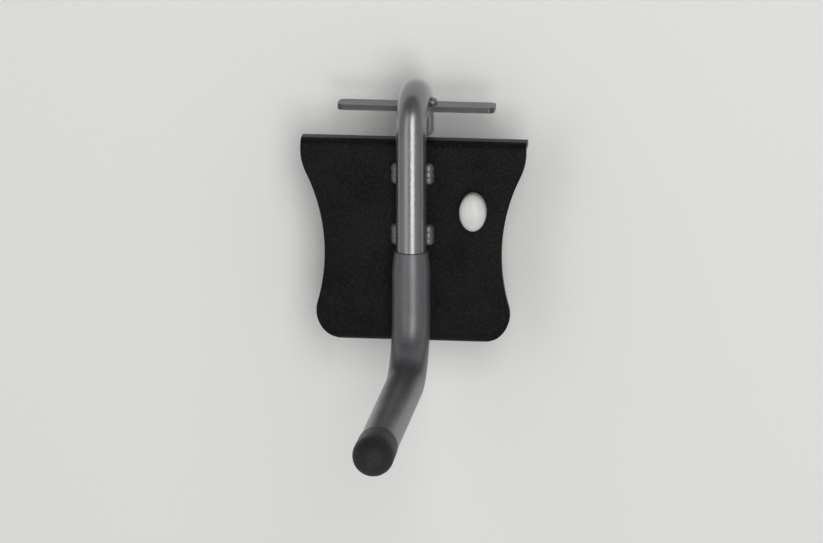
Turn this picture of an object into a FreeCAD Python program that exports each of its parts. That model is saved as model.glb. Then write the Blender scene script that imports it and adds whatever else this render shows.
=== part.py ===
"""Bike wall hook for a slat panel: a welded hook with a soft sleeve, an end cap and a quarter-turn lock.

Millimetres. X runs to the right along the panel, Y points into the panel, Z is up.
The origin is where the hook hangs: in the hook's middle plane, on the panel's front face (y = 0),
at the top edge of the panel lip (z = 0). The arm reaches out towards -Y.
"""
import FreeCAD, Part
import math
import os

V = FreeCAD.Vector
ALONG_X = V(1, 0, 0)
ALONG_Y = V(0, 1, 0)
ALONG_Z = V(0, 0, 1)

# Panel lip that the hook hangs on
lip_thickness = 3.0
lip_play = 3.0
lip_to_plate = 10.0

# Back plate, a pressing with its top and bottom edges folded back to the panel
plate_height = 81.0
plate_top_width = 89.0
plate_ear_height = 4.0
plate_ear_radius = 22.0
plate_waist_width = 69.8
plate_waist_drop = 45.5
plate_foot_radius = 12.0
plate_depth = 8.5
sheet = 2.5
fold_radius = 1.5

# Hook rod, one bent bar from the tail behind the lip to the tip of the arm
rod_diameter = 12.0
crown_clearance = 1.5
tail_length = 6.0
tail_chamfer = 1.2
arm_drop = 10.5
arm_reach = 150.0
bend_radius = 25.0

# Seat lugs, the flat bars that stand out from the crown and rest on the lip
lug_span = 62.0
lug_depth = 10.0
lug_thickness = 2.2
lug_corner = 2.5
lug_fit_gap = 0.2

# Soft sleeve over the lower shank, the bend and the arm
sleeve_drop = 42.5
sleeve_wall = 1.5
collar_wall = 0.8
collar_length = 8.0
sleeve_gap = 0.3

# Rubber cap on the end of the arm
cap_diameter = 16.0
cap_length = 22.0
cap_wall = 6.0
cap_gap = 0.2
cap_dome_steps = 3

# Weld beads
bead_radius = 2.6
bead_length = 9.0
bead_sink = 1.0
upper_bead_drop = 12.5
lower_bead_drop = 37.0
lug_bead_radius = 2.0
lug_bead_length = 5.5
lug_bead_inset = 0.4

# Quarter-turn lock
lock_offset = 24.0
lock_drop = 27.0
spindle_diameter = 7.0
spindle_flats = 5.0
running_clearance = 0.05
seat_clearance = 0.02
end_play = 0.15
knob_width = 10.6
knob_height = 15.0
knob_end_radius = 4.2
knob_thickness = 7.0
knob_crown_radius = 9.5
spring_washer_diameter = 10.4
spring_washer_sheet = 0.5
spring_washer_cone = 0.4
hub_diameter = 13.0
finger_reach = 22.0
finger_tip_diameter = 8.0
finger_thickness = 3.0
finger_set_in = 0.5
screw_diameter = 3.0
screw_length = 8.0
screw_head_diameter = 7.0
screw_head_height = 2.0
screw_slot_width = 1.0
screw_slot_depth = 0.9

# Worked-out places
rod_radius = rod_diameter / 2
plate_top = -lip_to_plate
plate_bottom = plate_top - plate_height
plate_face = -plate_depth
web_back = plate_face + sheet
shank_y = plate_face - rod_radius
tail_y = lip_thickness + lip_play + rod_radius
crown_radius = (tail_y - shank_y) / 2
crown_y = (tail_y + shank_y) / 2
crown_z = crown_clearance + rod_radius - crown_radius
lug_root = rod_radius + lug_fit_gap
arm_z = plate_bottom - arm_drop
bend_y = shank_y - bend_radius
bend_z = arm_z + bend_radius
rod_tip_y = cap_wall - arm_reach
sleeve_radius = rod_radius + sleeve_wall
sleeve_diameter = 2 * sleeve_radius
sleeve_top = plate_top - sleeve_drop
cap_radius = cap_diameter / 2
cap_widest_y = cap_radius - arm_reach
cap_mouth_y = cap_length - arm_reach
sleeve_end_y = cap_mouth_y + cap_gap
lock_z = plate_top - lock_drop
washer_height = spring_washer_sheet + spring_washer_cone
washer_back = plate_face - running_clearance
knob_back = washer_back - washer_height
hub_front = web_back + end_play
finger_front = finger_set_in
cam_back = finger_front + finger_thickness


def arc(start, middle, end):
    """Edge of the circle through three points."""
    return Part.Arc(start, middle, end).toShape()


def line(start, end):
    """Straight edge."""
    return Part.makeLine(start, end)


def face_of(edges):
    """Flat face inside a closed run of edges."""
    return Part.Face(Part.Wire(edges))


def rod_along_y(radius, x, z, front, back):
    """Round bar along Y between two depths."""
    return Part.makeCylinder(radius, back - front, V(x, front, z), ALONG_Y)


def pipe(path, radius):
    """Round bar along a path of lines and tangent arcs in the middle plane."""
    start = path[0].firstVertex(True).Point
    tangent = path[0].tangentAt(path[0].FirstParameter)
    section = Part.Wire(Part.makeCircle(radius, start, tangent))
    return Part.Wire(path).makePipeShell([section], True, False)


def turned(corners, centre):
    """Solid of a profile with straight edges, turned about Y through a centre."""
    edges = [line(corners[i], corners[(i + 1) % len(corners)]) for i in range(len(corners))]
    return face_of(edges).revolve(centre, ALONG_Y, 360)


def plate_outline():
    """Front outline of the plate: straight top and foot, ears at the top and hollow sides.

    Each side is a short straight edge, a convex arc and a hollow arc that is upright at the waist.
    The two arcs turn through the same angle, so they share a tangent where they meet.
    """
    half_top = plate_top_width / 2
    half_waist = plate_waist_width / 2
    drop = plate_waist_drop - plate_ear_height
    turn = 2 * math.atan2(half_top - half_waist, drop)
    hollow_radius = drop / math.sin(turn) - plate_ear_radius
    below_waist = plate_height - plate_waist_drop
    half_foot = half_waist + hollow_radius - math.sqrt(hollow_radius ** 2 - below_waist ** 2)

    def side_points(side):
        """Corner, ear's start, middle and end, waist and foot of one side."""
        def at(x, down):
            return V(side * x, 0, plate_top - down)

        def on_ear(angle):
            inset = plate_ear_radius * (1 - math.cos(angle))
            return at(half_top - inset, plate_ear_height + plate_ear_radius * math.sin(angle))

        return [
            at(half_top, 0),
            on_ear(0),
            on_ear(turn / 2),
            on_ear(turn),
            at(half_waist, plate_waist_drop),
            at(half_foot, plate_height),
        ]

    edges = []
    for side in (-1, 1):
        corner, ear_start, ear_middle, ear_end, waist, foot = side_points(side)
        edges += [line(corner, ear_start), arc(ear_start, ear_middle, ear_end), arc(ear_end, waist, foot)]
    edges.append(line(side_points(-1)[0], side_points(1)[0]))
    edges.append(line(side_points(-1)[-1], side_points(1)[-1]))
    return face_of(Part.__sortEdges__(edges))


def channel_profile():
    """Section of the pressing in the YZ plane: web with both edges folded back to the panel."""
    outer = fold_radius + sheet
    slant = math.sqrt(0.5)

    def fold(edge_z, up, radius):
        """Quarter arc of one fold, from the flange to the web."""
        centre = V(0, plate_face + outer, edge_z - up * outer)
        flange_end = centre + ALONG_Z * (up * radius)
        web_end = centre - ALONG_Y * radius
        middle = centre + V(0, -slant * radius, up * slant * radius)
        return flange_end, middle, web_end

    top_out = fold(plate_top, 1, outer)
    top_in = fold(plate_top, 1, fold_radius)
    foot_out = fold(plate_bottom, -1, outer)
    foot_in = fold(plate_bottom, -1, fold_radius)
    top_edge = V(0, 0, plate_top)
    top_edge_in = V(0, 0, plate_top - sheet)
    foot_edge = V(0, 0, plate_bottom)
    foot_edge_in = V(0, 0, plate_bottom + sheet)
    return face_of([
        line(top_edge, top_out[0]),
        arc(*top_out),
        line(top_out[2], foot_out[2]),
        arc(foot_out[2], foot_out[1], foot_out[0]),
        line(foot_out[0], foot_edge),
        line(foot_edge, foot_edge_in),
        line(foot_edge_in, foot_in[0]),
        arc(*foot_in),
        line(foot_in[2], top_in[2]),
        arc(top_in[2], top_in[1], top_in[0]),
        line(top_in[0], top_edge_in),
        line(top_edge_in, top_edge),
    ])


def make_back_plate():
    """Folded pressing trimmed to the front outline, with the bore for the lock."""
    blank = plate_outline()
    blank.translate(ALONG_Y * plate_face)
    blank = blank.extrude(ALONG_Y * plate_depth)
    width = blank.BoundBox.XLength
    channel = channel_profile()
    channel.translate(ALONG_X * (-width / 2))
    channel = channel.extrude(ALONG_X * width)
    foot_edges = []
    for edge in blank.Edges:
        ends = [vertex.Point for vertex in edge.Vertexes]
        if all(abs(end.z - plate_bottom) < 1e-6 for end in ends) and abs(ends[0].x - ends[1].x) < 1e-6:
            foot_edges.append(edge)
    blank = blank.makeFillet(plate_foot_radius, foot_edges)
    bore = rod_along_y(spindle_diameter / 2 + running_clearance, lock_offset, lock_z, plate_face, web_back)
    return channel.common(blank).cut(bore)


def shank_start():
    """Point where the crown meets the shank."""
    return V(0, shank_y, crown_z)


def lower_path(start, end_y):
    """Shank, bend and arm, from a point on the shank to a depth on the arm."""
    slant = bend_radius * math.sqrt(0.5)
    bend_start = V(0, shank_y, bend_z)
    bend_middle = V(0, bend_y + slant, bend_z - slant)
    bend_end = V(0, bend_y, arm_z)
    return [
        line(start, bend_start),
        arc(bend_start, bend_middle, bend_end),
        line(bend_end, V(0, end_y, arm_z)),
    ]


def make_hook_rod():
    """One bar: tail behind the lip, crown over it, shank down the plate, bend and arm."""
    tail_end = V(0, tail_y, crown_z - tail_length)
    tail_top = V(0, tail_y, crown_z)
    crown_top = V(0, crown_y, crown_z + crown_radius)
    path = [line(tail_end, tail_top), arc(tail_top, crown_top, shank_start())]
    path += lower_path(shank_start(), rod_tip_y)
    rod = pipe(path, rod_radius)
    tail_edges = [edge for edge in rod.Edges if abs(edge.BoundBox.ZMax - tail_end.z) < 1e-6]
    return rod.makeChamfer(tail_chamfer, tail_edges)


def make_seat_lug(side):
    """Flat bar from the side of the crown along the top of the lip, with a rounded free end."""
    length = lug_span / 2 - lug_root
    corner = V(lug_root if side > 0 else -lug_span / 2, 0, 0)
    lug = Part.makeBox(length, lug_depth, lug_thickness, corner)
    free_end = [
        edge for edge in lug.Edges
        if edge.BoundBox.ZLength > lug_thickness / 2 and abs(edge.BoundBox.Center.x) > length
    ]
    return lug.makeFillet(lug_corner, free_end)


def make_rod_welds(rod, plate):
    """Beads in the corners between the shank and the plate, two on each side."""
    beads = []
    for side in (-1, 1):
        for drop in (upper_bead_drop, lower_bead_drop):
            low = V(side * rod_radius, plate_face - bead_sink, plate_top - drop - bead_length / 2)
            raw = Part.makeCylinder(bead_radius, bead_length, low, ALONG_Z)
            beads += raw.cut(plate).cut(rod).Solids
    return Part.makeCompound(beads)


def make_lug_welds():
    """Quarter-round beads in the corners between the crown and the tops of the lugs."""
    front = lug_depth - lug_bead_inset - lug_bead_length
    beads = []
    for side in (-1, 1):
        corner = V(side * rod_radius, front, lug_thickness)
        section = face_of([
            line(corner, corner + ALONG_X * (side * lug_bead_radius)),
            arc(
                corner + ALONG_X * (side * lug_bead_radius),
                corner + V(side, 0, 1) * (lug_bead_radius * math.sqrt(0.5)),
                corner + ALONG_Z * lug_bead_radius,
            ),
            line(corner + ALONG_Z * lug_bead_radius, corner),
        ])
        beads.append(section.extrude(ALONG_Y * lug_bead_length))
    return Part.makeCompound(beads)


def make_sleeve_collar():
    """Upper end of the sleeve, which tapers to a thin edge."""
    axis_low = V(0, shank_y, sleeve_top - collar_length)
    return Part.makeCone(sleeve_radius, rod_radius + collar_wall, collar_length, axis_low, ALONG_Z)


def make_grip_sleeve(rod):
    """Soft sleeve, open at the back where it lies on the plate and round from the bend on."""
    start = V(0, shank_y, sleeve_top - collar_length)
    body = pipe(lower_path(start, sleeve_end_y), sleeve_radius)
    body = body.fuse(make_sleeve_collar()).removeSplitter()
    plate_room = Part.makeBox(
        2 * sleeve_diameter,
        plate_depth + sleeve_gap,
        plate_height + sleeve_gap,
        V(-sleeve_diameter, plate_face - sleeve_gap, plate_bottom - sleeve_gap),
    )
    return body.cut(rod).cut(plate_room)


def make_arm_cap(rod):
    """Cap with a round end, turned about the arm and bored for the rod's tip.

    The end is a row of short cones with their corners on a sphere, which keeps the facets few.
    """
    mouth = V(0, cap_mouth_y, arm_z)
    corners = [mouth, mouth + ALONG_X * cap_radius]
    for step in range(cap_dome_steps):
        angle = math.pi / 2 * step / cap_dome_steps
        corners.append(V(cap_radius * math.cos(angle), cap_widest_y - cap_radius * math.sin(angle), arm_z))
    corners.append(V(0, -arm_reach, arm_z))
    return turned(corners, mouth).cut(rod)


def double_flat(radius, flats, front, back):
    """Round bar with two flats, along Y on the lock's axis."""
    bar = rod_along_y(radius, lock_offset, lock_z, front, back)
    corner = V(lock_offset - flats / 2, front, lock_z - radius)
    return bar.common(Part.makeBox(flats, back - front, 2 * radius, corner))


def knob_outline():
    """Oval of four tangent arcs: two tight ends and two long sides."""
    centre = V(lock_offset, knob_back, lock_z)
    half_width = knob_width / 2
    rise = knob_height / 2 - knob_end_radius
    side_radius = (rise ** 2 + half_width ** 2 - knob_end_radius ** 2) / (2 * (half_width - knob_end_radius))
    lean = math.atan2(rise, side_radius - half_width)

    def joint(side, up):
        """Point where an end arc meets a side arc."""
        out = V(side * math.cos(lean), 0, up * math.sin(lean))
        return centre + ALONG_Z * (up * rise) + out * knob_end_radius

    return face_of([
        arc(joint(1, -1), centre + ALONG_X * half_width, joint(1, 1)),
        arc(joint(1, 1), centre + ALONG_Z * (knob_height / 2), joint(-1, 1)),
        arc(joint(-1, 1), centre - ALONG_X * half_width, joint(-1, -1)),
        arc(joint(-1, -1), centre - ALONG_Z * (knob_height / 2), joint(1, -1)),
    ])


def make_lock_knob():
    """Oval thumb knob, its face crowned from end to end, on a spindle with two flats and a screw hole."""
    crown_start = V(lock_offset - knob_width, knob_back - knob_thickness + knob_crown_radius, lock_z)
    head = knob_outline().extrude(ALONG_Y * (-2 * knob_thickness))
    head = head.common(Part.makeCylinder(knob_crown_radius, 2 * knob_width, crown_start, ALONG_X))
    spindle = rod_along_y(spindle_diameter / 2, lock_offset, lock_z, knob_back, hub_front)
    tail = double_flat(spindle_diameter / 2, spindle_flats, hub_front, cam_back - end_play)
    hole_radius = screw_diameter / 2 + seat_clearance
    hole_front = cam_back - screw_length - end_play
    hole = rod_along_y(hole_radius, lock_offset, lock_z, hole_front, cam_back)
    return head.fuse([spindle, tail]).removeSplitter().cut(hole)


def make_lock_washer():
    """Coned spring washer between the knob and the plate."""
    inner = spindle_diameter / 2 + running_clearance
    outer = spring_washer_diameter / 2
    corners = [
        V(lock_offset + inner, knob_back, lock_z),
        V(lock_offset + inner, knob_back + spring_washer_sheet, lock_z),
        V(lock_offset + outer, washer_back, lock_z),
        V(lock_offset + outer, washer_back - spring_washer_sheet, lock_z),
    ]
    return turned(corners, V(lock_offset, 0, lock_z))


def finger_outline():
    """Outline of the cam: the hub's circle and the tip's circle joined by their common tangents."""
    hub = hub_diameter / 2
    tip = finger_tip_diameter / 2
    span = finger_reach - tip
    lean = math.asin((hub - tip) / span)
    hub_centre = V(lock_offset, finger_front, lock_z)
    tip_centre = hub_centre + ALONG_Z * span
    right = V(math.cos(lean), 0, math.sin(lean))
    left = V(-math.cos(lean), 0, math.sin(lean))
    return face_of([
        line(hub_centre + right * hub, tip_centre + right * tip),
        arc(tip_centre + right * tip, tip_centre + ALONG_Z * tip, tip_centre + left * tip),
        line(tip_centre + left * tip, hub_centre + left * hub),
        arc(hub_centre + left * hub, hub_centre - ALONG_Z * hub, hub_centre + right * hub),
    ])


def make_lock_cam():
    """Hub behind the plate with a finger that swings up under the panel lip."""
    hub = rod_along_y(hub_diameter / 2, lock_offset, lock_z, hub_front, finger_front)
    finger = finger_outline().extrude(ALONG_Y * finger_thickness)
    seat = double_flat(
        spindle_diameter / 2 + seat_clearance, spindle_flats + 2 * seat_clearance, hub_front, cam_back
    )
    return hub.fuse(finger).removeSplitter().cut(seat)


def make_lock_screw():
    """Slotted screw that holds the cam on the spindle."""
    head_back = cam_back + screw_head_height
    shank = rod_along_y(screw_diameter / 2, lock_offset, lock_z, cam_back - screw_length, cam_back)
    head = rod_along_y(screw_head_diameter / 2, lock_offset, lock_z, cam_back, head_back)
    slot = Part.makeBox(
        screw_head_diameter,
        screw_slot_depth,
        screw_slot_width,
        V(lock_offset - screw_head_diameter / 2, head_back - screw_slot_depth, lock_z - screw_slot_width / 2),
    )
    return head.fuse(shank).removeSplitter().cut(slot)


def make_parts():
    """Every piece of the hook by node name."""
    plate = make_back_plate()
    rod = make_hook_rod()
    lugs = {side: make_seat_lug(side) for side in (-1, 1)}
    return {
        "back_plate": plate,
        "hook_rod": rod,
        "left_seat_lug": lugs[-1],
        "right_seat_lug": lugs[1],
        "rod_welds": make_rod_welds(rod, plate),
        "lug_welds": make_lug_welds(),
        "grip_sleeve": make_grip_sleeve(rod),
        "arm_cap": make_arm_cap(rod),
        "lock_knob": make_lock_knob(),
        "lock_washer": make_lock_washer(),
        "lock_cam": make_lock_cam(),
        "lock_screw": make_lock_screw(),
    }


os.makedirs("parts", exist_ok=True)
for name, shape in make_parts().items():
    shape.exportStep(f"parts/{name}.step")
    print(name, len(shape.Solids), shape.isValid(), round(shape.Volume, 1))
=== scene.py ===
"""Looks of the bike wall hook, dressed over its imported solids.

Metres, in the solids' frame: X to the right along the panel, +Y into the panel, Z up. The origin is
on the panel's front face, at the top edge of the lip that the hook hangs on.
"""
import math

import bpy
import numpy as np
from mathutils import Matrix


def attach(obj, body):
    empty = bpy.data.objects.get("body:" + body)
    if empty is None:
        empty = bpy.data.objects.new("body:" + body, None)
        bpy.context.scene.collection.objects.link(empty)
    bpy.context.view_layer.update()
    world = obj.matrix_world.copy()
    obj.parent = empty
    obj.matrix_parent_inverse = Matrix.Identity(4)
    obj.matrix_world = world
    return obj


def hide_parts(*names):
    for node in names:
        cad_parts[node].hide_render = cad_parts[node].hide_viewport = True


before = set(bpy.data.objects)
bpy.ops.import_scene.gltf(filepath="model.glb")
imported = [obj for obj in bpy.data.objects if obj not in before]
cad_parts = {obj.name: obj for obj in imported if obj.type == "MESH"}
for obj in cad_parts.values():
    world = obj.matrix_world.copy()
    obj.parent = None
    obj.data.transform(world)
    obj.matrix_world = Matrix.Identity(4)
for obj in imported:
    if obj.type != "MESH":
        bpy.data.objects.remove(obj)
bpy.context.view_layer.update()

# Hook rod: tail, crown, shank, bend and arm
ROD_RADIUS = 0.006
ROD_SIDES = 72
RING_STEP = 0.0006
TAIL_Y = 0.012
TAIL_LENGTH = 0.006
TAIL_CHAMFER = 0.0012
CHAMFER_SOFTNESS = 0.00012
TAIL_EDGE = 0.00015
CROWN_RADIUS = 0.01325
CROWN_Y = -0.00125
CROWN_Z = -0.00575
SHANK_Y = -0.0145
BEND_RADIUS = 0.025
ARM_Z = -0.1015
ROD_TIP_Y = -0.144

# Soft sleeve and the cap on the arm's end
SOFT_SIDES = 80
FIT_GAP = 0.00003
BORE_RADIUS = ROD_RADIUS + FIT_GAP
SLEEVE_TOP = -0.0525
SLEEVE_END_Y = -0.1278
SLEEVE_RADIUS = 0.0075
SLEEVE_BACK = -0.0088
BACK_WEB = 0.0003
COLLAR_RADIUS = 0.0068
COLLAR_LENGTH = 0.008
CAP_RADIUS = 0.008
CAP_TAPER = 0.00015
CAP_WIDEST_Y = -0.142
CAP_MOUTH_Y = -0.128
CAP_MOUTH_ROUND = 0.0005

# Weld beads and their ripples
PLATE_FACE = -0.0085
BEAD_SIDES = 40
BEAD_RADIUS = 0.0024
BEAD_LENGTH = 0.0088
BEAD_X = ROD_RADIUS + 0.0002
BEAD_Y = PLATE_FACE - 0.001
BEAD_HEIGHTS = (-0.0225, -0.047)
LUG_TOP = 0.0022
LUG_BEAD_RADIUS = 0.0018
LUG_BEAD_LENGTH = 0.0054
LUG_BEAD_MIDDLE = 0.00685
RIPPLE_PITCH = 0.0021
RIPPLE_DEPTH = 0.016
RIPPLE_LEAD = 1.5
WAVER_DEPTH = 0.03
WAVER_ANGLE = 9.0
SLANT = math.sqrt(0.5)

# Lock knob on its axis, from the back of its spindle to its crowned face
LOCK_X = 0.024
LOCK_Z = -0.037
SPINDLE_RADIUS = 0.0035
SPINDLE_FLATS = 0.005
SCREW_HOLE_RADIUS = 0.00152
SCREW_HOLE_FRONT = -0.00465
SPINDLE_BACK = 0.00335
FLATS_FRONT = -0.00585
KNOB_BACK = -0.00945
KNOB_RIM = -0.0128
KNOB_FRONT = -0.01645
KNOB_HALF_WIDTH = 0.0053
KNOB_HALF_HEIGHT = 0.0075
KNOB_SIDES = 96
KNOB_EDGE = 0.00045
KNOB_CORNER = 0.00004
KNOB_CROWN_POWER = 0.9
KNOB_CROWN_END = 0.985

# A half-width that no ring of the knob reaches
NO_FLATS = 9.0

# Lengths of the rod's runs, in order from the tail
BEND_Z = ARM_Z + BEND_RADIUS
BEND_Y = SHANK_Y - BEND_RADIUS
RUNS = np.cumsum([
    0.0,
    TAIL_LENGTH,
    math.pi * CROWN_RADIUS,
    CROWN_Z - BEND_Z,
    math.pi / 2 * BEND_RADIUS,
])


def ease(share):
    """Smooth step: 3 t^2 - 2 t^3 of a share held between 0 and 1."""
    t = np.clip(share, 0.0, 1.0)
    return t * t * (3.0 - 2.0 * t)


def rod_line(along):
    """Centre line of the rod and its in-plane normal, for lengths measured from the tail's end.

    The heading's angle is 0 up the tail, grows to half a turn over the crown, stays there down the
    shank, falls to a quarter turn round the bend and stays there along the arm. On the two curves the
    place is the curve's centre plus or minus its radius times the angle's cosine and sine.
    """
    tail, crown, shank, bend = RUNS[1:]
    over = math.pi * np.clip((along - tail) / (crown - tail), 0.0, 1.0)
    back = math.pi / 2 * np.clip((along - shank) / (bend - shank), 0.0, 1.0)
    angle = over - back
    runs = [along < tail, along < crown, along < shank, along < bend]
    y = np.select(
        runs,
        [
            np.full_like(along, TAIL_Y),
            CROWN_Y + CROWN_RADIUS * np.cos(angle),
            np.full_like(along, SHANK_Y),
            BEND_Y - BEND_RADIUS * np.cos(angle),
        ],
        BEND_Y - (along - bend),
    )
    z = np.select(
        runs,
        [
            CROWN_Z - TAIL_LENGTH + along,
            CROWN_Z + CROWN_RADIUS * np.sin(angle),
            CROWN_Z - (along - crown),
            BEND_Z - BEND_RADIUS * np.sin(angle),
        ],
        np.full_like(along, ARM_Z),
    )
    zero = np.zeros_like(along)
    centre = np.stack([zero, y, z], axis=1)
    normal = np.stack([zero, np.cos(angle), np.sin(angle)], axis=1)
    return centre, normal


def length_at_z(z):
    """Length along the rod down to a height on the shank."""
    return RUNS[2] + CROWN_Z - z


def length_at_y(y):
    """Length along the rod out to a depth on the arm."""
    return RUNS[4] + BEND_Y - y


def rings_on_rod(along, radius, sides):
    """Rings round the rod's line: centre plus radius times (cosine across, sine in the bend's plane)."""
    centre, normal = rod_line(along)
    turn = np.linspace(0.0, 2.0 * math.pi, num=sides, endpoint=False)
    across = np.cos(turn)[None, :, None] * np.array([1.0, 0.0, 0.0])
    raised = np.sin(turn)[None, :, None] * normal[:, None, :]
    return centre[:, None, :] + radius[:, None, None] * (across + raised)


def ring_faces(rings, first, loop):
    """Corners and faces of a run of rings, with first as the first corner's number.

    Neighbouring rings are joined by quads. A loop joins its last ring to its first, and any other run
    is closed by a point in the middle of each end ring. The faces are turned outwards by the sign of
    the volume that they enclose.
    """
    count, sides = rings.shape[:2]
    corners = rings.reshape(-1, 3)
    number = first + np.arange(count * sides).reshape(count, sides)
    following = np.roll(rings, -1, axis=0)
    next_number = np.roll(number, -1, axis=0)
    if not loop:
        rings, following = rings[:-1], following[:-1]
        number, next_number = number[:-1], next_number[:-1]
    quads = np.stack(
        [number, np.roll(number, -1, axis=1), np.roll(next_number, -1, axis=1), next_number], axis=-1
    )
    faces = quads.reshape(-1, 4).tolist()
    if not loop:
        ends = np.stack([corners[:sides].mean(0), corners[-sides:].mean(0)])
        start, end = number[0], next_number[-1]
        tip = first + len(corners)
        corners = np.concatenate([corners, ends])
        faces += np.stack([np.full(sides, tip), np.roll(start, -1), start], axis=-1).tolist()
        faces += np.stack([np.full(sides, tip + 1), end, np.roll(end, -1)], axis=-1).tolist()
    beside = np.cross(np.roll(rings, -1, axis=1), np.roll(following, -1, axis=1))
    if (rings * beside).sum() < 0:
        faces = [face[::-1] for face in faces]
    return corners, faces


def piece_of_rings(name, runs, loop=False):
    """One smooth mesh object from one or more closed runs of rings."""
    corners, faces = [], []
    for rings in runs:
        added, added_faces = ring_faces(rings, sum(len(part) for part in corners), loop)
        corners.append(added)
        faces += added_faces
    mesh = bpy.data.meshes.new(name)
    mesh.from_pydata(np.concatenate(corners).tolist(), [], faces)
    mesh.polygons.foreach_set("use_smooth", np.ones(len(faces), dtype=bool))
    mesh.update()
    piece = bpy.data.objects.new(name, mesh)
    bpy.context.scene.collection.objects.link(piece)
    return piece


def hook_rod_piece():
    """Round bar along the rod's line, with its tail chamfered and the chamfer's corners eased.

    The radius climbs at 45 degrees from the tail's end and bends smoothly into the full radius. It is
    their mean less the root of (half their difference squared plus the softness squared), which is the
    lesser of the two with its corner rounded.
    """
    end = length_at_y(ROD_TIP_Y)
    chamfer = np.linspace(0.0, 1.6 * TAIL_CHAMFER, num=14)
    climb = ROD_RADIUS - TAIL_CHAMFER + chamfer
    mean = 0.5 * (climb + ROD_RADIUS)
    half_apart = 0.5 * (climb - ROD_RADIUS)
    tail = mean - np.sqrt(half_apart ** 2 + CHAMFER_SOFTNESS ** 2) + 0.2 * CHAMFER_SOFTNESS
    tail[0] -= TAIL_EDGE
    body = np.linspace(chamfer[-1] + RING_STEP, end, num=330)
    along = np.concatenate([chamfer, body])
    radius = np.concatenate([tail, np.full_like(body, ROD_RADIUS)])
    return piece_of_rings("hook_rod_bar", [rings_on_rod(along, radius, ROD_SIDES)])


def grip_sleeve_piece():
    """Sleeve with a real wall: a closed profile of radius against length, carried along the rod's line.

    From the arm the profile runs back up the bore, turns over a half-round lip, eases out to the full
    wall, follows the shank, bend and arm and turns in over a second half-round lip. Every point's depth
    is held in front of the plate, the bore's a web further than the outside's. That leaves a flat back
    down to the bend, whose thin web the rod hides.
    """
    top = length_at_z(SLEEVE_TOP)
    end = length_at_y(SLEEVE_END_Y)
    turn = np.linspace(0.0, math.pi, num=13)
    top_half = (COLLAR_RADIUS - BORE_RADIUS) / 2
    end_half = (SLEEVE_RADIUS - BORE_RADIUS) / 2
    before_lip = end - 1.4 * end_half
    bore = np.linspace(before_lip, top + RING_STEP, num=170)
    collar = np.linspace(top + 1.5 * RING_STEP, top + COLLAR_LENGTH, num=26)
    swell = ease((collar - top) / COLLAR_LENGTH)
    body = np.linspace(collar[-1] + RING_STEP, before_lip, num=270)
    along = np.concatenate([
        bore,
        top + top_half * (1.0 - np.sin(turn)),
        collar,
        body,
        end - end_half * (1.0 - np.sin(turn)),
    ])
    radius = np.concatenate([
        np.full_like(bore, BORE_RADIUS),
        BORE_RADIUS + top_half * (1.0 - np.cos(turn)),
        COLLAR_RADIUS + (SLEEVE_RADIUS - COLLAR_RADIUS) * swell,
        np.full_like(body, SLEEVE_RADIUS),
        BORE_RADIUS + end_half * (1.0 + np.cos(turn)),
    ])
    rings = rings_on_rod(along, radius, SOFT_SIDES)
    back = SLEEVE_BACK - BACK_WEB * (SLEEVE_RADIUS - radius) / (SLEEVE_RADIUS - BORE_RADIUS)
    rings[..., 1] = np.minimum(rings[..., 1], back[:, None])
    return piece_of_rings("grip_sleeve_moulding", [rings], loop=True)


def arm_cap_piece():
    """Cap with a real wall: a profile of radius against length along the arm, closed at both ends.

    From the middle of the bore's flat end the profile runs back along the bore, turns over a rounded
    mouth, follows a slight taper to the widest place and closes in a dome, whose radius falls as the
    cosine while its length grows as the sine.
    """
    mouth = length_at_y(CAP_MOUTH_Y)
    bore_end = length_at_y(ROD_TIP_Y)
    widest = length_at_y(CAP_WIDEST_Y)
    behind_mouth = mouth + CAP_MOUTH_ROUND
    mouth_radius = CAP_RADIUS - CAP_TAPER
    turn = np.linspace(0.0, math.pi / 2, num=8)
    bore = np.linspace(bore_end, behind_mouth + 0.0002, num=30)
    side = np.linspace(behind_mouth + 0.0003, widest, num=26)
    swell = ease((side - mouth) / (widest - mouth))
    dome = np.linspace(0.04, 1.54, num=34)
    along = np.concatenate([
        bore,
        mouth + CAP_MOUTH_ROUND * (1.0 - np.sin(turn)),
        mouth + CAP_MOUTH_ROUND * (1.0 - np.cos(turn)),
        side,
        widest + CAP_RADIUS * np.sin(dome),
    ])
    radius = np.concatenate([
        np.full_like(bore, BORE_RADIUS),
        BORE_RADIUS + CAP_MOUTH_ROUND * (1.0 - np.cos(turn)),
        mouth_radius - CAP_MOUTH_ROUND * (1.0 - np.sin(turn)),
        mouth_radius + CAP_TAPER * swell,
        CAP_RADIUS * np.cos(dome),
    ])
    return piece_of_rings("arm_cap_moulding", [rings_on_rod(along, radius, SOFT_SIDES)])


def bead_rings(middle, along_axis, out_axis, side_axis, length, radius):
    """Weld bead: a rounded bar whose radius swells and dips in crescents along its length.

    The radius is the full one times the square root of 1 less the share's sixth power, so the ends
    are blunt and round, less a ripple whose phase runs ahead in the middle of the bead's face and a
    slow waver.
    """
    share = np.sin(np.linspace(-math.pi / 2, math.pi / 2, num=74))[1:-1]
    turn = np.linspace(0.0, 2.0 * math.pi, num=BEAD_SIDES, endpoint=False)
    along = share * length / 2
    phase = 2.0 * math.pi * along[:, None] / RIPPLE_PITCH + RIPPLE_LEAD * np.cos(turn)[None, :]
    waver = WAVER_DEPTH * np.sin(WAVER_ANGLE * share)[:, None]
    ripple = 1.0 - RIPPLE_DEPTH * (1.0 - np.cos(phase)) - waver
    girth = radius * np.sqrt(1.0 - share[:, None] ** 6) * ripple
    out = np.cos(turn)[None, :, None] * np.array(out_axis)
    side = np.sin(turn)[None, :, None] * np.array(side_axis)
    centre = np.array(middle) + along[:, None, None] * np.array(along_axis)
    return centre + girth[..., None] * (out + side)


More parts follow.
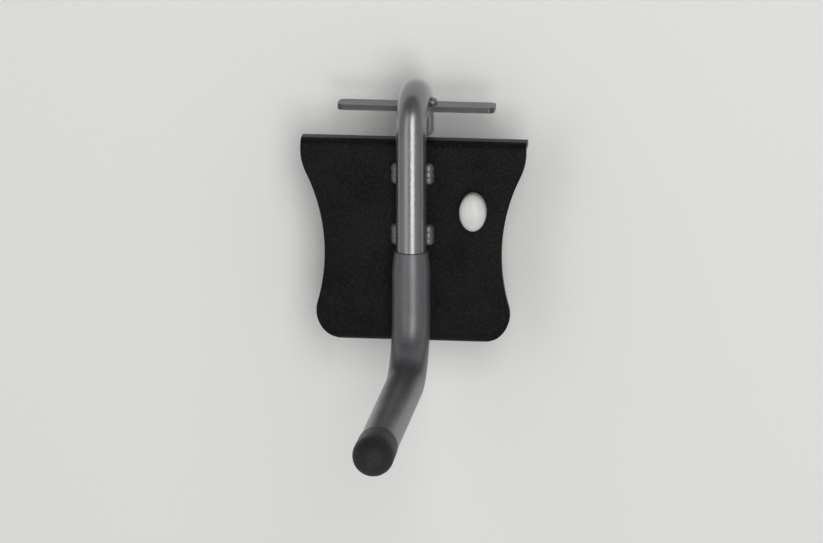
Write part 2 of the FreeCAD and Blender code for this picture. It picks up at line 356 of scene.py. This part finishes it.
def rod_weld_pieces():
    """Four upright beads in the corners between the shank and the plate."""
    runs = []
    for side in (-1.0, 1.0):
        out = (side * SLANT, -SLANT, 0.0)
        across = (-SLANT, -side * SLANT, 0.0)
        for height in BEAD_HEIGHTS:
            middle = (side * BEAD_X, BEAD_Y, height)
            runs.append(bead_rings(middle, (0.0, 0.0, 1.0), out, across, BEAD_LENGTH, BEAD_RADIUS))
    return piece_of_rings("rod_weld_beads", runs)


def lug_weld_pieces():
    """Two level beads in the corners between the crown and the tops of the lugs."""
    runs = []
    for side in (-1.0, 1.0):
        out = (side * SLANT, 0.0, SLANT)
        across = (-SLANT, 0.0, side * SLANT)
        middle = (side * ROD_RADIUS, LUG_BEAD_MIDDLE, LUG_TOP)
        runs.append(bead_rings(middle, (0.0, 1.0, 0.0), out, across, LUG_BEAD_LENGTH, LUG_BEAD_RADIUS))
    return piece_of_rings("lug_weld_beads", runs)


def lock_knob_piece():
    """Knob and spindle as one closed run of ovals along the lock's axis.

    Each ring is (half-width times cosine, half-height times sine) at its own depth, with its width held
    to the flats on the spindle's tail. The run goes from the bottom of the screw hole back to the
    spindle's end, forward over the tail, the round spindle and the knob's back, round its edge and up
    the wall. The face is a crown: width falls as the cosine to the power 0.9, depth grows as the sine
    to the same power.
    """
    edge = np.linspace(0.0, math.pi / 2, num=7)
    crown = np.linspace(0.0, KNOB_CROWN_END, num=34) * math.pi / 2
    half_flats = SPINDLE_FLATS / 2
    inner = [
        (SCREW_HOLE_FRONT, SCREW_HOLE_RADIUS - KNOB_CORNER, NO_FLATS),
        (SCREW_HOLE_FRONT + KNOB_CORNER, SCREW_HOLE_RADIUS, NO_FLATS),
        (SPINDLE_BACK - KNOB_CORNER, SCREW_HOLE_RADIUS, NO_FLATS),
        (SPINDLE_BACK, SCREW_HOLE_RADIUS + KNOB_CORNER, NO_FLATS),
        (SPINDLE_BACK, SPINDLE_RADIUS - KNOB_CORNER, half_flats - KNOB_CORNER),
        (SPINDLE_BACK - KNOB_CORNER, SPINDLE_RADIUS, half_flats),
        (FLATS_FRONT + KNOB_CORNER, SPINDLE_RADIUS, half_flats),
        (FLATS_FRONT, SPINDLE_RADIUS, half_flats + KNOB_CORNER),
        (FLATS_FRONT - KNOB_CORNER, SPINDLE_RADIUS, NO_FLATS),
        (KNOB_BACK + KNOB_CORNER, SPINDLE_RADIUS, NO_FLATS),
        (KNOB_BACK, SPINDLE_RADIUS + KNOB_CORNER, NO_FLATS),
    ]
    depth, girth, flats = (np.array(column) for column in zip(*inner))
    rim = 1.0 - KNOB_EDGE / KNOB_HALF_WIDTH * (1.0 - np.sin(edge))
    face = np.cos(crown) ** KNOB_CROWN_POWER
    share = np.concatenate([rim, face])
    y = np.concatenate([
        depth,
        KNOB_BACK - KNOB_EDGE * (1.0 - np.cos(edge)),
        KNOB_RIM + (KNOB_FRONT - KNOB_RIM) * np.sin(crown) ** KNOB_CROWN_POWER,
    ])
    half_width = np.concatenate([girth, KNOB_HALF_WIDTH * share])
    half_height = np.concatenate([girth, KNOB_HALF_HEIGHT * share])
    hold = np.concatenate([flats, np.full_like(share, NO_FLATS)])[:, None]
    turn = np.linspace(0.0, 2.0 * math.pi, num=KNOB_SIDES, endpoint=False)[None, :]
    x = np.clip(half_width[:, None] * np.cos(turn), -hold, hold)
    z = half_height[:, None] * np.sin(turn)
    rings = np.stack([LOCK_X + x, np.broadcast_to(y[:, None], x.shape), LOCK_Z + z], axis=-1)
    return piece_of_rings("lock_knob_moulding", [rings])


# Places of the Mix node's colour sockets, whose names its other kinds of socket share
MIX_FIRST = 6
MIX_SECOND = 7
MIX_RESULT = 2


class Finish:
    """A node material under construction, with the few nodes that these finishes share."""

    SOCKETS = {
        "colour": "Base Color",
        "metal": "Metallic",
        "roughness": "Roughness",
        "specular": "Specular IOR Level",
        "ior": "IOR",
        "normal": "Normal",
        "coat": "Coat Weight",
        "coat_roughness": "Coat Roughness",
    }

    def __init__(self, name):
        self.material = bpy.data.materials.new(name)
        self.material.use_nodes = True
        self.nodes = self.material.node_tree.nodes
        self.links = self.material.node_tree.links
        self.shader = self.nodes["Principled BSDF"]
        self.place = self.nodes.new("ShaderNodeTexCoord").outputs["Object"]

    def feed(self, socket, value):
        """Sets a number or a colour straight on a socket, or links an output to it."""
        if isinstance(value, (int, float)):
            socket.default_value = value
        elif isinstance(value, tuple):
            socket.default_value = (*value, 1.0)
        else:
            self.links.new(value, socket)

    def noise(self, scale, detail=2.0, roughness=0.5):
        """Noise at a number of features in a metre."""
        node = self.nodes.new("ShaderNodeTexNoise")
        node.inputs["Scale"].default_value = scale
        node.inputs["Detail"].default_value = detail
        node.inputs["Roughness"].default_value = roughness
        self.links.new(self.place, node.inputs["Vector"])
        return node.outputs["Fac"]

    def spread(self, value, span, to=(0.0, 1.0)):
        """Value carried from one span to another and held there."""
        node = self.nodes.new("ShaderNodeMapRange")
        node.inputs["From Min"].default_value = span[0]
        node.inputs["From Max"].default_value = span[1]
        node.inputs["To Min"].default_value = to[0]
        node.inputs["To Max"].default_value = to[1]
        self.links.new(value, node.inputs["Value"])
        return node.outputs["Result"]

    def times(self, product, *others):
        """Product of an output and one or more outputs or numbers."""
        for other in others:
            node = self.nodes.new("ShaderNodeMath")
            node.operation = "MULTIPLY"
            self.links.new(product, node.inputs[0])
            self.feed(node.inputs[1], other)
            product = node.outputs["Value"]
        return product

    def mix(self, share, first, second):
        """Colour between two, each an output or a colour."""
        node = self.nodes.new("ShaderNodeMix")
        node.data_type = "RGBA"
        self.links.new(share, node.inputs["Factor"])
        self.feed(node.inputs[MIX_FIRST], first)
        self.feed(node.inputs[MIX_SECOND], second)
        return node.outputs[MIX_RESULT]

    def mottle(self, noise, dark, light):
        """Colour that wanders between two shades with a noise."""
        return self.mix(self.spread(noise, (0.3, 0.7)), dark, light)

    def uneven(self, noise, low, high):
        """Value that wanders between two with a noise."""
        return self.spread(noise, (0.25, 0.75), (low, high))

    def axes(self):
        """X, Y and Z of the place."""
        node = self.nodes.new("ShaderNodeSeparateXYZ")
        self.links.new(self.place, node.inputs["Vector"])
        return node.outputs

    def bump(self, height, distance, strength, below=None):
        """Normal tilted by a height, on top of another bump."""
        node = self.nodes.new("ShaderNodeBump")
        node.inputs["Strength"].default_value = strength
        node.inputs["Distance"].default_value = distance
        self.links.new(height, node.inputs["Height"])
        if below is not None:
            self.links.new(below, node.inputs["Normal"])
        return node.outputs["Normal"]

    def set(self, **values):
        """Constants straight on the shader's sockets, outputs by link."""
        for key, value in values.items():
            self.feed(self.shader.inputs[self.SOCKETS[key]], value)
        return self.material


# Each coat's two mottled shades and the shade of its grains
COAT_BLACK = ((0.0050, 0.0050, 0.0048), (0.0090, 0.0089, 0.0086), (0.036, 0.036, 0.035))
COAT_DARK = ((0.026, 0.026, 0.027), (0.040, 0.040, 0.041), (0.075, 0.075, 0.076))
COAT_GREY = ((0.050, 0.050, 0.052), (0.064, 0.064, 0.067), (0.095, 0.095, 0.097))

# Steel where the coat is rubbed, and how metallic it gets there
RUBBED_STEEL = (0.16, 0.155, 0.15)
RUBBED_METAL = 0.85

# Back corner of the panel's lip, as depth and height
LIP_CORNER = (0.0, 0.003, 0.0)


def powder_coat(name, shades, specular, rough, ior=1.5, gloss=0.0, worn=None):
    """Powder coat: mottle between two shades, fine paler grains, orange peel, grit and smudges.

    gloss is the weight of the clear top coat. worn is a function that gives the share of rubbing down
    to the steel from the finish's own nodes.
    """
    finish = Finish(name)
    dark, light, grain = shades
    peel = finish.noise(scale=850.0, detail=1.5)
    grit = finish.noise(scale=5200.0)
    grains = finish.spread(finish.noise(scale=1500.0), (0.45, 0.7), (0.0, 0.35))
    smudges = finish.noise(scale=38.0, detail=5.0, roughness=0.6)
    roughness = finish.times(
        finish.uneven(grit, rough - 0.07, rough + 0.07),
        finish.spread(smudges, (0.35, 0.65), (0.8, 1.25)),
    )
    colour = finish.mottle(finish.noise(scale=70.0, detail=4.0), dark, light)
    colour = finish.mix(grains, colour, grain)
    if worn is not None:
        rubbed = worn(finish)
        colour = finish.mix(rubbed, colour, RUBBED_STEEL)
        finish.set(metal=finish.times(rubbed, RUBBED_METAL))
    peeled = finish.bump(peel, distance=0.00008, strength=0.5)
    return finish.set(
        colour=colour,
        roughness=roughness,
        specular=specular,
        ior=ior,
        coat=gloss,
        coat_roughness=0.2,
        normal=finish.bump(grit, distance=0.000012, strength=0.3, below=peeled),
    )


def rubbed_patches(finish, near, span, most):
    """Rubbing in the patches where a coarse noise passes a span, kept to where near is above 0."""
    return finish.times(near, finish.spread(finish.noise(scale=130.0, detail=3.0), span, (0.0, most)))


def rubbed_foot(finish):
    """Rubbing on the plate's folded edges, where they bear on the panel: within 1.3 mm of y = 0."""
    near = finish.spread(finish.axes()["Y"], (-0.0013, -0.0001))
    return rubbed_patches(finish, near, (0.45, 0.75), most=0.6)


def rubbed_seat(finish):
    """Rubbing on the lugs' undersides, where they sit on the lip: within 0.9 mm of z = 0."""
    near = finish.spread(finish.axes()["Z"], (0.0009, 0.0001))
    return rubbed_patches(finish, near, (0.42, 0.72), most=0.6)


def rubbed_crown(finish):
    """Rubbing inside the crown, where it rides on the lip: within 5.2 mm of the lip's back corner.

    The distance leaves X out.
    """
    upright = finish.nodes.new("ShaderNodeVectorMath")
    upright.operation = "MULTIPLY"
    upright.inputs[1].default_value = (0.0, 1.0, 1.0)
    finish.links.new(finish.place, upright.inputs[0])
    apart = finish.nodes.new("ShaderNodeVectorMath")
    apart.operation = "DISTANCE"
    apart.inputs[1].default_value = LIP_CORNER
    finish.links.new(upright.outputs["Vector"], apart.inputs[0])
    near = finish.spread(apart.outputs["Value"], (0.0052, 0.0018))
    return rubbed_patches(finish, near, (0.42, 0.72), most=0.7)


def sleeve_rubber():
    """Satin grey sleeve: leathery grain, a pale stipple, a cloudy mottle, and a paler top on the outer
    arm that is scuffs and painted light.
    """
    finish = Finish("sleeve_rubber")
    cloud = finish.noise(scale=45.0, detail=4.0, roughness=0.6)
    stipple = finish.spread(finish.noise(scale=1300.0), (0.42, 0.7), (0.0, 0.5))
    grain = finish.noise(scale=2600.0)
    pores = finish.noise(scale=9000.0, detail=1.0)
    axes = finish.axes()
    # The top of the outer arm is paler: scuffs and painted light on the face that looks up.
    upper = finish.spread(axes["Z"], (ARM_Z + 0.001, ARM_Z + 0.0065))
    outer = finish.spread(axes["Y"], (-0.05, -0.075))
    patches = finish.noise(scale=90.0, detail=5.0, roughness=0.65)
    scuffs = finish.times(upper, outer, finish.spread(patches, (0.35, 0.65), (0.15, 0.55)))
    colour = finish.mottle(cloud, (0.056, 0.057, 0.062), (0.077, 0.078, 0.084))
    colour = finish.mix(stipple, colour, (0.105, 0.106, 0.113))
    # Scuffs and painted light, paler on top of the outer arm.
    colour = finish.mix(scuffs, colour, (0.20, 0.20, 0.205))
    grained = finish.bump(grain, distance=0.00004, strength=0.5)
    return finish.set(
        colour=colour,
        roughness=finish.uneven(grain, 0.3, 0.42),
        specular=1.0,
        normal=finish.bump(pores, distance=0.00001, strength=0.4, below=grained),
    )


def cap_rubber():
    """Dull black rubber: a faint stipple, fine pores, a paler band towards its mouth that is partly the
    rubber's surface film and partly painted highlight, and a scuffed tip.
    """
    finish = Finish("cap_rubber")
    cloud = finish.noise(scale=120.0, detail=4.0, roughness=0.6)
    stipple = finish.spread(finish.noise(scale=1300.0), (0.45, 0.7), (0.0, 0.4))
    pores = finish.noise(scale=7000.0, detail=1.5)
    depth = finish.axes()["Y"]
    # Paler towards the mouth: partly the rubber's surface film, partly painted highlight.
    near_mouth = finish.spread(depth, (-0.143, -0.135))
    bloom_and_sheen = finish.times(near_mouth, finish.spread(cloud, (0.2, 0.6), (0.5, 0.9)))
    near_tip = finish.spread(depth, (-0.142, -0.15))
    patches = finish.noise(scale=520.0, detail=5.0, roughness=0.7)
    scuffs = finish.times(near_tip, finish.spread(patches, (0.55, 0.7)), 0.5)
    colour = finish.mottle(cloud, (0.0068, 0.0068, 0.0070), (0.0118, 0.0118, 0.0120))
    colour = finish.mix(stipple, colour, (0.028, 0.028, 0.0285))
    # Painted highlight and surface film towards the mouth.
    colour = finish.mix(bloom_and_sheen, colour, (0.050, 0.050, 0.052))
    colour = finish.mix(scuffs, colour, (0.04, 0.04, 0.041))
    return finish.set(
        colour=colour,
        roughness=finish.uneven(pores, 0.58, 0.72),
        specular=0.3,
        normal=finish.bump(pores, distance=0.00002, strength=0.4),
    )


def knob_plastic():
    """Light grey moulding: faint flow marks, a fine spark texture, and darkening towards its back edge,
    next to the plate, that is dirt and painted shade.
    """
    finish = Finish("knob_plastic")
    flow = finish.noise(scale=160.0, detail=3.0)
    spark = finish.noise(scale=3800.0)
    # Darker towards the back edge, next to the plate: dirt and painted shade.
    near_back = finish.spread(finish.axes()["Y"], (-0.0125, -0.0094))
    patches = finish.spread(finish.noise(scale=600.0, detail=4.0), (0.35, 0.7))
    grime_and_shade = finish.times(near_back, patches, 0.6)
    colour = finish.mottle(flow, (0.60, 0.60, 0.59), (0.68, 0.68, 0.665))
    # Dirt and painted shade towards the back edge.
    colour = finish.mix(grime_and_shade, colour, (0.3, 0.295, 0.28))
    return finish.set(
        colour=colour,
        roughness=finish.uneven(spark, 0.3, 0.44),
        specular=0.5,
        normal=finish.bump(spark, distance=0.00002, strength=0.35),
    )


def zinc_steel():
    """Bright zinc plate: blotchy passivation, fine turning grain and uneven gloss."""
    finish = Finish("zinc_steel")
    blotch = finish.noise(scale=380.0, detail=4.0, roughness=0.6)
    grain = finish.noise(scale=4200.0, detail=3.0)
    return finish.set(
        colour=finish.mottle(blotch, (0.56, 0.56, 0.54), (0.68, 0.67, 0.63)),
        metal=1.0,
        roughness=finish.uneven(grain, 0.24, 0.42),
        normal=finish.bump(grain, distance=0.00001, strength=0.3),
    )


def cam_plastic():
    """Black glass-filled moulding: dull, with a fine mottled skin."""
    finish = Finish("cam_plastic")
    skin = finish.noise(scale=900.0, detail=3.0)
    fibre = finish.noise(scale=5200.0)
    skinned = finish.bump(skin, distance=0.00003, strength=0.3)
    return finish.set(
        colour=finish.mottle(skin, (0.014, 0.014, 0.014), (0.024, 0.024, 0.023)),
        roughness=finish.uneven(fibre, 0.42, 0.58),
        specular=0.45,
        normal=finish.bump(fibre, distance=0.00002, strength=0.35, below=skinned),
    )


# Rounded edges of the solids
MERGE_DISTANCE = 1e-6
SHARP_ANGLE = math.radians(32.0)
FLAT_WEIGHT = 80


def soften(node, width, segments=3):
    """Joins a solid's facets and rounds its sharp edges, with even shading on the flats."""
    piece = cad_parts[node]
    weld = piece.modifiers.new("join_facets", "WELD")
    weld.merge_threshold = MERGE_DISTANCE
    round_edges = piece.modifiers.new("round_edges", "BEVEL")
    round_edges.width = width
    round_edges.segments = segments
    round_edges.limit_method = "ANGLE"
    round_edges.angle_limit = SHARP_ANGLE
    even = piece.modifiers.new("even_shading", "WEIGHTED_NORMAL")
    even.weight = FLAT_WEIGHT
    return piece


def paint(piece, material):
    """Gives a piece one material and nothing else."""
    piece.data.materials.clear()
    piece.data.materials.append(material)


def dress(piece, node, body, material):
    """Puts a new piece in a solid's place, on its body and material."""
    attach(piece, body)
    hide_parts(node)
    paint(piece, material)


rod_grey = powder_coat(
    "rod_grey", COAT_GREY, specular=1.0, rough=0.26, ior=1.8, gloss=1.0, worn=rubbed_crown
)
bead_dark = powder_coat("bead_dark", COAT_GREY, specular=1.0, rough=0.36, gloss=0.4)
plate_black = powder_coat("plate_black", COAT_BLACK, specular=0.05, rough=0.33, worn=rubbed_foot)
lug_dark = powder_coat("lug_dark", COAT_DARK, specular=0.6, rough=0.4, gloss=0.2, worn=rubbed_seat)
zinc = zinc_steel()

dress(hook_rod_piece(), "hook_rod", "hook", rod_grey)
dress(grip_sleeve_piece(), "grip_sleeve", "hook", sleeve_rubber())
dress(arm_cap_piece(), "arm_cap", "hook", cap_rubber())
dress(rod_weld_pieces(), "rod_welds", "hook", bead_dark)
dress(lug_weld_pieces(), "lug_welds", "hook", bead_dark)
dress(lock_knob_piece(), "lock_knob", "lock", knob_plastic())

paint(soften("back_plate", width=0.0006), plate_black)
paint(soften("left_seat_lug", width=0.0006), lug_dark)
paint(soften("right_seat_lug", width=0.0006), lug_dark)
paint(soften("lock_cam", width=0.0003), cam_plastic())
paint(soften("lock_washer", width=0.0001, segments=2), zinc)
paint(soften("lock_screw", width=0.0002, segments=2), zinc)

# Stage, with the sheets' sizes measured from the origin
WALL_Y = 0.0215
FLOOR_Z = -1.25
HALF_STAGE = 8.0
WALL_SHADE = (0.78, 0.78, 0.77)
FLOOR_SHADE = (0.72, 0.72, 0.71)

# Point that the camera and the lamps round the hook face
MIDDLE = np.array([0.006, -0.066, -0.048])

# Camera, in millimetres for the lens and degrees for the view
LENS_LENGTH = 430.0
SENSOR_WIDTH = 36.0
CAMERA_DISTANCE = 3.8
CAMERA_REACH = 50.0
VIEW_AZIMUTH = 6.5
VIEW_ELEVATION = 14.0

# Room light, and the heights between which it fades, as sines of the elevation
ROOM_LIGHT = 0.4
OVERHEAD_LIGHT = 0.1
FADE_START = 0.3
FADE_END = 0.9


def stage_plane(name, corners, colour):
    """Plain pale sheet, clear from behind, that takes shadows, casts none and lights no dull surface."""
    mesh = bpy.data.meshes.new(name)
    mesh.from_pydata(corners, [], [(0, 1, 2, 3)])
    sheet = bpy.data.objects.new(name, mesh)
    bpy.context.scene.collection.objects.link(sheet)
    material = bpy.data.materials.new(name)
    material.use_nodes = True
    nodes, links = material.node_tree.nodes, material.node_tree.links
    nodes.clear()
    out = nodes.new("ShaderNodeOutputMaterial")
    matte = nodes.new("ShaderNodeBsdfDiffuse")
    matte.inputs["Color"].default_value = (*colour, 1.0)
    clear = nodes.new("ShaderNodeBsdfTransparent")
    side = nodes.new("ShaderNodeNewGeometry")
    choose = nodes.new("ShaderNodeMixShader")
    links.new(side.outputs["Backfacing"], choose.inputs["Fac"])
    links.new(matte.outputs["BSDF"], choose.inputs[1])
    links.new(clear.outputs["BSDF"], choose.inputs[2])
    links.new(choose.outputs["Shader"], out.inputs["Surface"])
    mesh.materials.append(material)
    sheet.visible_diffuse = False
    sheet.visible_shadow = False


def direction(azimuth, elevation):
    """Unit vector from the object to a viewer: azimuth 0 is straight in front, positive to the right."""
    a, e = math.radians(azimuth), math.radians(elevation)
    return np.array([math.sin(a) * math.cos(e), -math.cos(a) * math.cos(e), math.sin(e)])


def aim(thing, place, target):
    """Turns a camera or lamp at a place towards a target."""
    back = place - target
    back = back / np.linalg.norm(back)
    right = np.cross([0.0, 0.0, 1.0], back)
    right = right / np.linalg.norm(right)
    up = np.cross(back, right)
    matrix = np.eye(4)
    matrix[:3] = np.stack([right, up, back, place], axis=1)
    thing.matrix_world = Matrix(matrix.tolist())


def softbox(name, azimuth, elevation, distance, width, height, power, target=MIDDLE):
    """Rectangular soft lamp, set in a direction from the object, that faces a target."""
    lamp = bpy.data.lights.new(name, "AREA")
    lamp.shape = "RECTANGLE"
    lamp.size = width
    lamp.size_y = height
    lamp.energy = power
    thing = bpy.data.objects.new(name, lamp)
    thing.visible_camera = False
    bpy.context.scene.collection.objects.link(thing)
    aim(thing, MIDDLE + distance * direction(azimuth, elevation), target)


def soft_room():
    """White room light, even round the horizon and below it, and fading towards straight overhead."""
    world = bpy.data.worlds.new("soft_room")
    world.use_nodes = True
    nodes, links = world.node_tree.nodes, world.node_tree.links
    room = nodes["Background"]
    room.inputs["Color"].default_value = (1.0, 1.0, 1.0, 1.0)
    heading = nodes.new("ShaderNodeTexCoord")
    height = nodes.new("ShaderNodeSeparateXYZ")
    fade = nodes.new("ShaderNodeMapRange")
    fade.interpolation_type = "SMOOTHSTEP"
    fade.inputs["From Min"].default_value = FADE_START
    fade.inputs["From Max"].default_value = FADE_END
    fade.inputs["To Min"].default_value = ROOM_LIGHT
    fade.inputs["To Max"].default_value = OVERHEAD_LIGHT
    links.new(heading.outputs["Generated"], height.inputs["Vector"])
    links.new(height.outputs["Z"], fade.inputs["Value"])
    links.new(fade.outputs["Result"], room.inputs["Strength"])
    bpy.context.scene.world = world


def photo_view():
    """Camera at the photo's angle to the hook, from afar."""
    lens = bpy.data.cameras.new("photo_view")
    lens.lens = LENS_LENGTH
    lens.sensor_width = SENSOR_WIDTH
    lens.clip_end = CAMERA_REACH
    camera = bpy.data.objects.new("photo_view", lens)
    bpy.context.scene.collection.objects.link(camera)
    aim(camera, MIDDLE + CAMERA_DISTANCE * direction(VIEW_AZIMUTH, VIEW_ELEVATION), MIDDLE)
    bpy.context.scene.camera = camera


stage_plane(
    "pale_backdrop",
    [
        (-HALF_STAGE, WALL_Y, FLOOR_Z),
        (HALF_STAGE, WALL_Y, FLOOR_Z),
        (HALF_STAGE, WALL_Y, HALF_STAGE),
        (-HALF_STAGE, WALL_Y, HALF_STAGE),
    ],
    WALL_SHADE,
)
stage_plane(
    "pale_floor",
    [
        (-HALF_STAGE, -HALF_STAGE, FLOOR_Z),
        (HALF_STAGE, -HALF_STAGE, FLOOR_Z),
        (HALF_STAGE, HALF_STAGE, FLOOR_Z),
        (-HALF_STAGE, HALF_STAGE, FLOOR_Z),
    ],
    FLOOR_SHADE,
)

# The right lamp is the main one, and the floor lamp faces down and away from the hook
softbox("left_softbox", azimuth=-32.0, elevation=9.0, distance=1.6, width=0.74, height=2.03, power=4.0)
softbox("right_softbox", azimuth=16.0, elevation=9.0, distance=1.6, width=0.77, height=2.03, power=17.4)
softbox("back_softbox", azimuth=195.0, elevation=2.0, distance=3.0, width=2.6, height=1.4, power=45.0)
softbox(
    "floor_softbox",
    azimuth=0.0,
    elevation=-4.0,
    distance=4.2,
    width=12.0,
    height=7.5,
    power=161.0,
    target=np.array([0.0, -4.3, FLOOR_Z]),
)
soft_room()
photo_view()
bpy.context.scene.view_settings.view_transform = "Standard"
